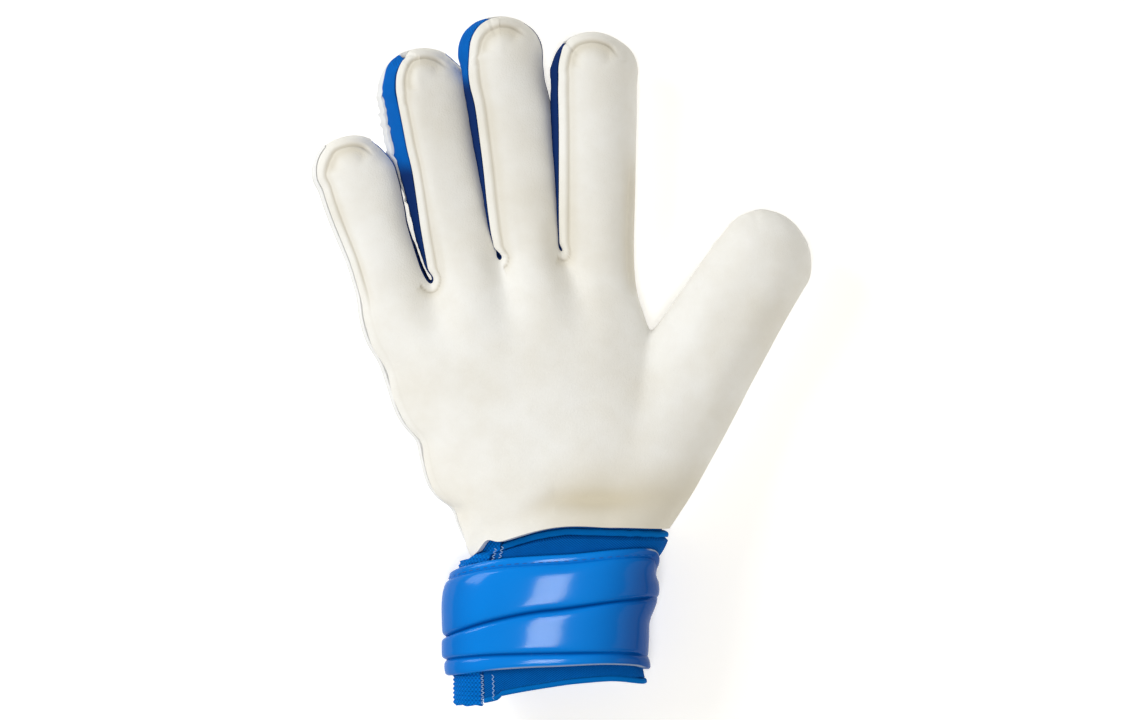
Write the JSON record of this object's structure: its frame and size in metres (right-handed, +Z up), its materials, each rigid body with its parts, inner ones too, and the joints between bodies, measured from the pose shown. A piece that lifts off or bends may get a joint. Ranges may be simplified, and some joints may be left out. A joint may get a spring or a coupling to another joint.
{
  "type": "goalkeeper's glove",
  "caption": "Padded goalkeeper's glove for the right hand, latex palm and rolled thumb, blue gussets between the fingers, knitted cuff with a wide wrap-round wrist strap.",
  "frame": {"origin": "on the surface that the glove lies on, under the middle of its outline, back of the hand down", "axes": "+Z up out of the palm, +Y towards the fingertips, +X towards the thumb"},
  "size_m": [0.2003, 0.2746, 0.049],
  "materials": {
    "palm_latex": "warm white latex foam, matt with a faint sheen",
    "backhand_skin": "white synthetic leather over foam, matt",
    "gusset_cloth": "royal blue foam-backed cloth, matt",
    "cuff_knit": "blue ribbed knit, matt",
    "cuff_elastic": "blue elastic knit, matt",
    "binding_tape": "dark blue woven tape, matt",
    "strap_skin": "smooth blue moulded skin with a soft gloss",
    "hook_tape": "dark hook tape"
  },
  "bodies": {
    "root": {"palm_panel": "palm_latex", "backhand_panel": "backhand_skin", "gusset_little_ring": "gusset_cloth", "gusset_ring_middle": "gusset_cloth", "gusset_middle_index": "gusset_cloth", "cuff_band": "cuff_knit", "cuff_insert": "cuff_elastic", "cuff_top_binding": "binding_tape", "cuff_hem_binding": "binding_tape", "wrist_strap": "strap_skin", "strap_hook_pad": "hook_tape"}
  },
  "joints": []
}
